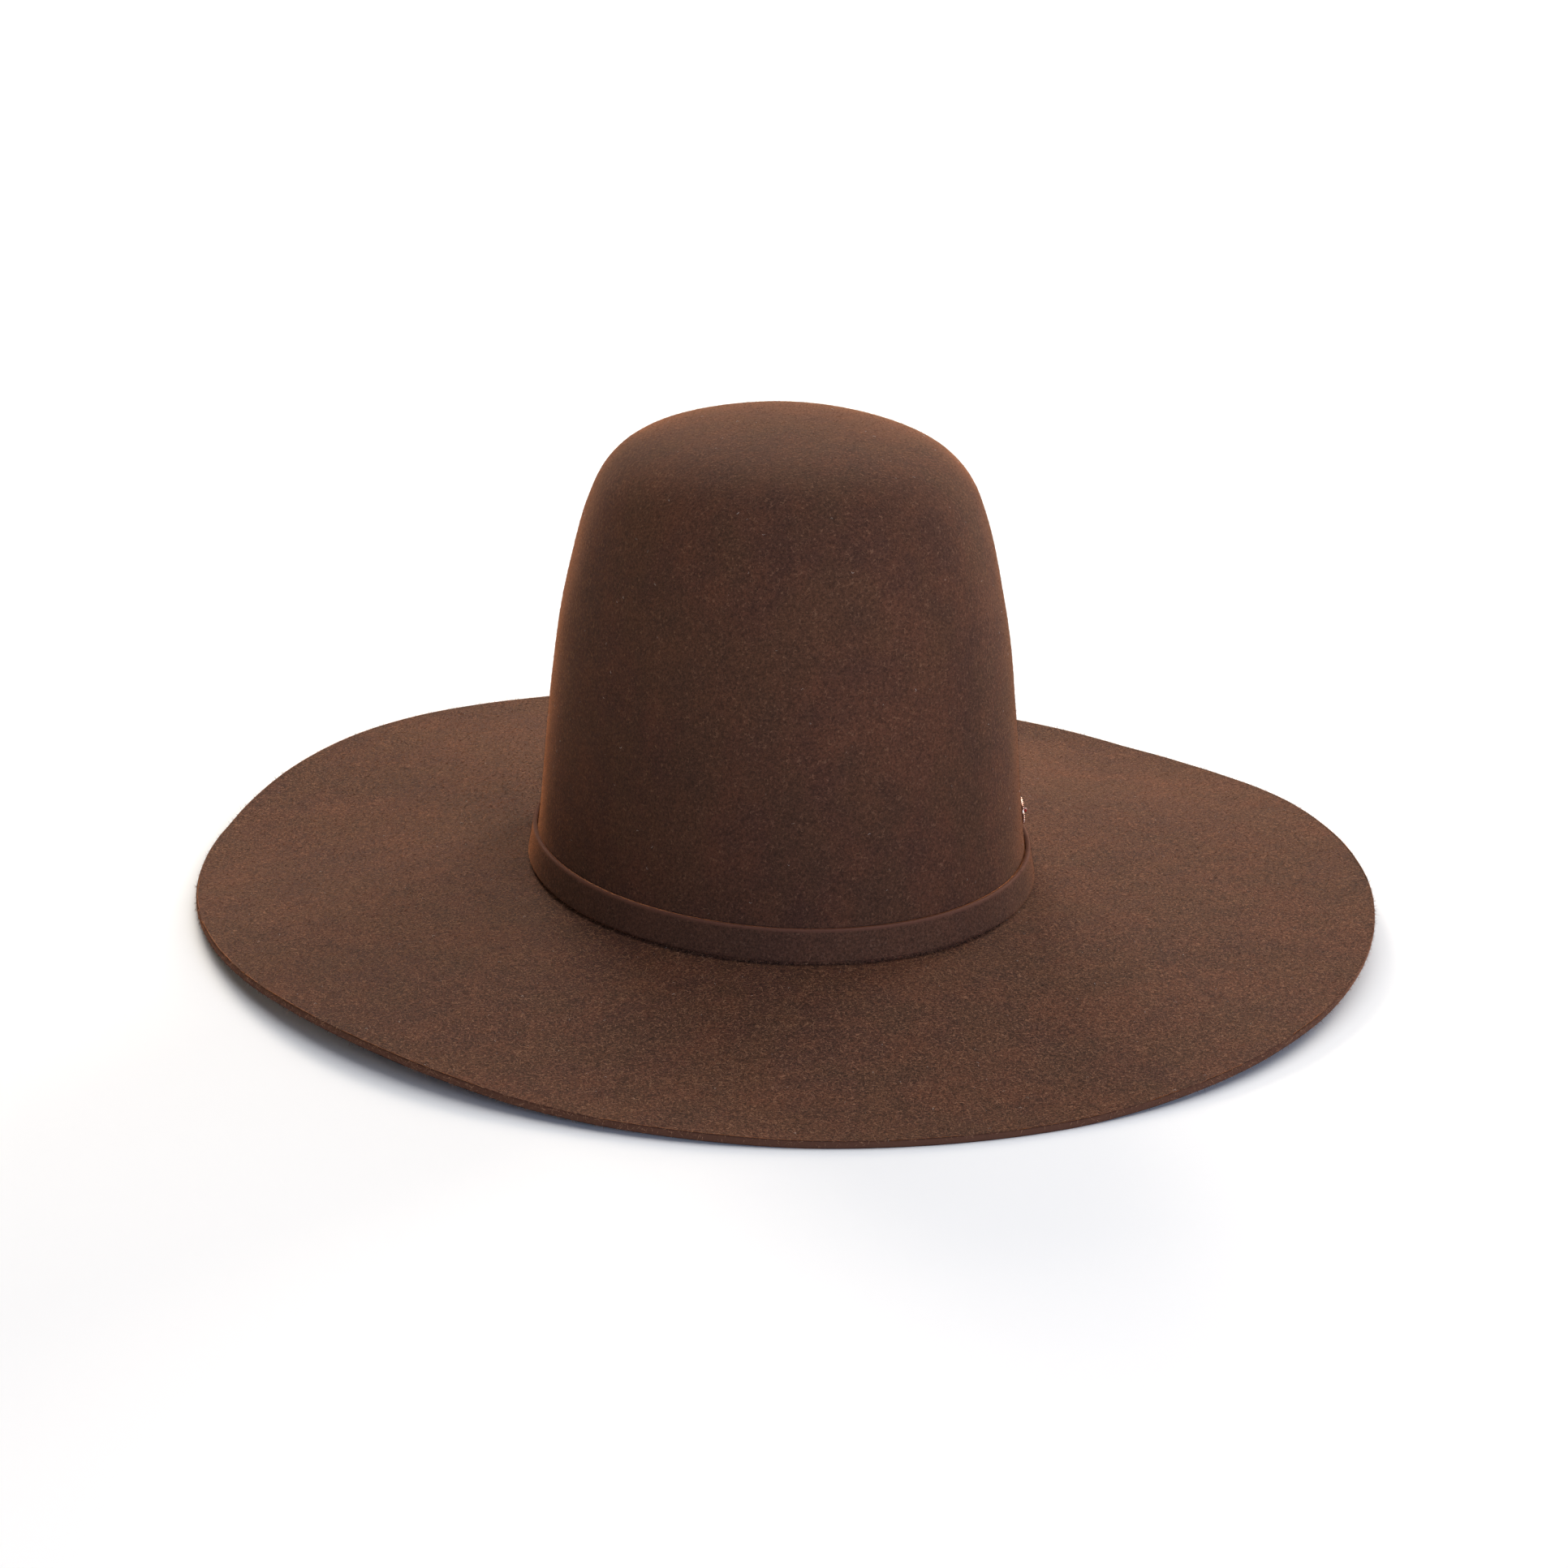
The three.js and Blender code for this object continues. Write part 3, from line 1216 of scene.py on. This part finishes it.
@dataclass(frozen=True)
class Studio:
    """A plain pale floor, soft lights and the camera at the photograph's place."""

    azimuth: float = math.radians(-17.72)
    elevation: float = math.radians(18.77)
    roll: float = math.radians(0.52)
    distance: float = 1.6
    aim_right: float = 1.3 * MM
    aim_height: float = 42.2 * MM
    focal_pixels: float = 5475.0
    picture_pixels: float = 1932.0
    sensor: float = 36.0
    clip: Pair = (0.01, 60.0)
    floor_half: float = 9.0
    floor_fade: Pair = (0.9, 3.0)
    floor_colour: Triple = (0.95, 0.955, 0.96)
    sky: float = 0.05
    softboxes: tuple[Softbox, ...] = (
        Softbox("ceiling", (1.2, 0.6, 3.4), 6.0, 179.0),
        Softbox("back_left", (-2.0, 1.4, 0.8), 0.7, 8.0, WARM),
        Softbox("back_right", (2.0, 1.4, 0.8), 0.7, 32.0, WARM),
        Softbox("back", (0.1, 2.1, 1.2), 0.8, 37.0, WARM),
        Softbox("front_right", (0.5, -2.3, 0.5), 1.0, 23.0, COOL),
    )

    def camera(self) -> None:
        """Places the camera."""
        side, lift = self.azimuth, self.elevation
        back = Vector((math.sin(side) * math.cos(lift), -math.cos(side) * math.cos(lift), math.sin(lift)))
        right = Vector((math.cos(side), math.sin(side), 0.0))
        upward = back.cross(right)
        across = right * math.cos(self.roll) + upward * math.sin(self.roll)
        above = upward * math.cos(self.roll) - right * math.sin(self.roll)
        place = right * self.aim_right + Vector((0.0, 0.0, self.aim_height)) + back * self.distance
        lens = bpy.data.cameras.new("camera")
        lens.sensor_width = self.sensor
        lens.lens = self.focal_pixels / self.picture_pixels * self.sensor
        lens.clip_start, lens.clip_end = self.clip
        made = bpy.data.objects.new("camera", lens)
        turn = Matrix((across, above, back)).transposed().to_4x4()
        made.matrix_world = Matrix.Translation(place) @ turn
        bpy.context.scene.collection.objects.link(made)
        bpy.context.scene.camera = made

    def floor(self) -> None:
        """Lays the floor, which fades to pure white far from the hat."""
        half = self.floor_half
        corners = [(-half, -half, 0), (half, -half, 0), (half, half, 0), (-half, half, 0)]
        mesh = bpy.data.meshes.new("floor")
        mesh.from_pydata(corners, [], [(0, 1, 2, 3)])
        board = Board("floor_paper")
        away = board.node("ShaderNodeVectorMath", {0: board.place()}, operation="LENGTH")
        paper = board.finish(
            self.floor_colour,
            Roughness=1.0,
            Specular_IOR_Level=0.0,
            Emission_Color=WHITE,
            Emission_Strength=board.spread(away.outputs["Value"], self.floor_fade),
        )
        add_piece("floor", mesh, paper)

    def world(self) -> None:
        """Sets a weak white sky that the camera sees as plain white."""
        world = bpy.data.worlds.new("studio")
        world.use_nodes = True
        wiring = Wiring(world.node_tree)
        wiring.tree.nodes.clear()
        light = wiring.node("ShaderNodeBackground", {"Color": WHITE, "Strength": self.sky})
        paper = wiring.node("ShaderNodeBackground", {"Color": WHITE, "Strength": 1.0})
        seen = wiring.node("ShaderNodeLightPath").outputs["Is Camera Ray"]
        chosen = wiring.node("ShaderNodeMixShader", {0: seen, 1: light.outputs[0], 2: paper.outputs[0]})
        wiring.node("ShaderNodeOutputWorld", {"Surface": chosen.outputs[0]})
        bpy.context.scene.world = world

    def build(self) -> None:
        """Sets up the whole studio."""
        bpy.context.scene.view_settings.view_transform = "Standard"
        self.world()
        self.floor()
        self.camera()
        for softbox in self.softboxes:
            softbox.hang()


CROWN_FELT = FeltFinish(
    name="brown_felt",
    light=screen(89, 55, 39),
    dark=screen(74, 47, 36),
    olive=screen(77, 53, 36),
    hair=screen(180, 131, 100),
    cut_and_highlight=screen(88, 57, 43),
)
BAND_FELT = FeltFinish(
    name="band_felt",
    light=screen(88, 57, 42),
    dark=screen(78, 51, 39),
    olive=screen(76, 52, 38),
    hair=screen(160, 120, 98),
    # A lighter top edge: partly the raw cut edge's colour, partly painted highlight.
    cut_and_highlight=screen(104, 67, 53),
)
COPPER = PolishedFinish(
    "copper", screen(246, 214, 194), screen(220, 158, 128), 1.2 * MM, (0.45, 0.65),
    detail=3.0, detail_share=0.6, metallic=1.0, coat=0.0, pit_depth=0.01 * MM,
)
RED_ENAMEL = PolishedFinish(
    "red_enamel", screen(146, 30, 22), screen(70, 12, 10), 1.5 * MM, (0.4, 0.6),
    detail=2.0, detail_share=0.5, metallic=0.0, coat=1.0, pit_depth=0.0,
)
PALE_LINT = LintFinish("pale_lint", colour=screen(214, 190, 172))

FELT_NAPS = (
    Nap("crown_nap", CROWN_FELT, "crown_cover", 400000.0, 0.9 * MM, 0.08 * MM, 1, 0.35),
    Nap(
        "brim_nap_short", CROWN_FELT, "brim_cover", 245000.0, 1.0 * MM, 0.12 * MM, 2, 1.35,
        least_turn=(math.radians(30), 0.0, 0.0),
    ),
    Nap("brim_nap_long", CROWN_FELT, "brim_cover", 225000.0, 1.6 * MM, 0.12 * MM, 3, 1.6),
)
BAND_NAP = Nap("band_nap", BAND_FELT, "band_cover", 500000.0, 0.8 * MM, 0.10 * MM, 4, 0.8)
LOOSE_LINT = Lint(
    "felt_lint", PALE_LINT, "lint_cover", 2600.0, 1.1 * MM, 0.11 * MM, 11, 1.0,
    least_turn=(-0.2, -0.2, 0.0), most_turn=(0.2, 0.2, FULL_TURN),
    least_scale=(0.25, 0.3, 1.0), most_scale=(1.0, 1.6, 1.0),
)


def belongs(piece: Object, slot: str, *nodes: str) -> None:
    """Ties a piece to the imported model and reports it.

    Args:
        piece: The piece.
        slot: The record's material slot.
        *nodes: The solids that the piece replaces.
    """
    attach(piece, BODY)
    if nodes:
        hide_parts(*nodes)
    log.info("%s: %d faces, slot %s, replaces %s", piece.name, len(piece.data.polygons), slot, list(nodes))


def main() -> None:
    """Builds the hat and its studio in order."""
    logging.basicConfig(level=logging.INFO, format="%(name)s: %(message)s")
    block = HatBlock()
    felt = FeltBody(block, CROWN_FELT).build()
    belongs(felt, "felt", "felt_body")
    band = HatBand(block, BAND_FELT).build()
    belongs(band, "band_felt", "hat_band")
    for piece in CrownPin(block, COPPER, RED_ENAMEL).build():
        belongs(piece, "pin_metal", "crown_pin")
    for nap in FELT_NAPS:
        belongs(nap.build(felt), "felt")
    belongs(BAND_NAP.build(band), "band_felt")
    belongs(LOOSE_LINT.build(felt), "felt")
    Studio().build()


if __name__ == "__main__":
    main()
